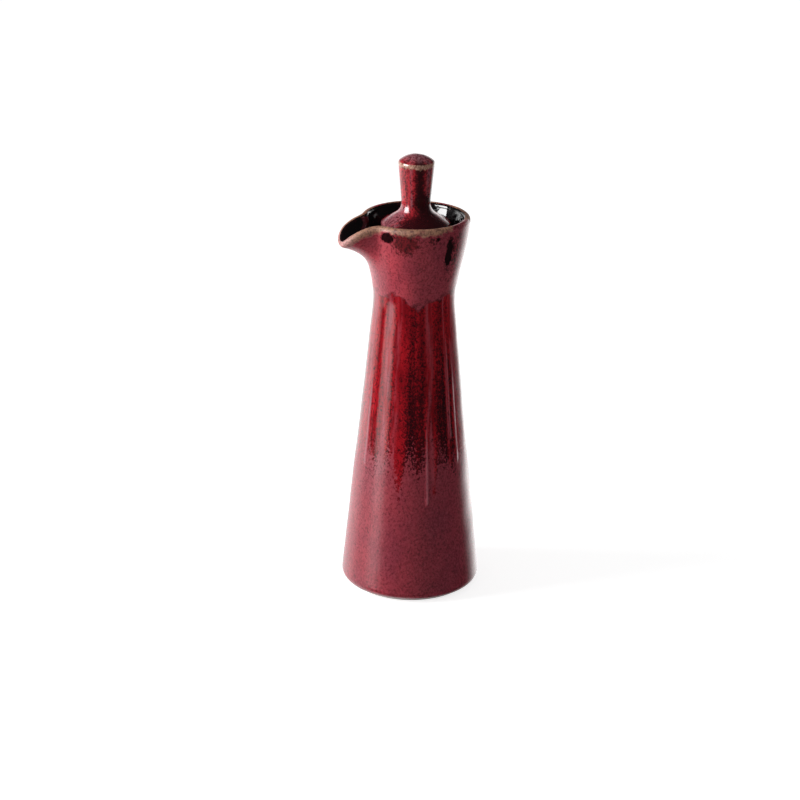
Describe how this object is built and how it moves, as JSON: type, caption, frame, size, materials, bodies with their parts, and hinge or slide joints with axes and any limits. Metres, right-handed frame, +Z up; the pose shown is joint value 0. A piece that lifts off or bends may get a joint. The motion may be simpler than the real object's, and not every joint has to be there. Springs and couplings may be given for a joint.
{
  "type": "oil and vinegar dispenser",
  "caption": "Slim glazed ceramic bottle with a flared foot, a narrow waist, a pinched pouring spout and a loose ceramic stopper with a domed knob; pours oil or vinegar.",
  "frame": {"origin": "centre of the foot, on the table", "axes": "+Z up along the bottle's axis; the spout points along -X; XZ is the mirror plane"},
  "size_m": [0.0498, 0.0466, 0.15],
  "materials": {
    "bottle_glaze": "glossy kiln glaze, rose to crimson with dark streaks",
    "stopper_glaze": "glossy kiln glaze, mottled crimson"
  },
  "bodies": {
    "root": {"bottle": "bottle_glaze", "stopper": "stopper_glaze"}
  },
  "joints": []
}
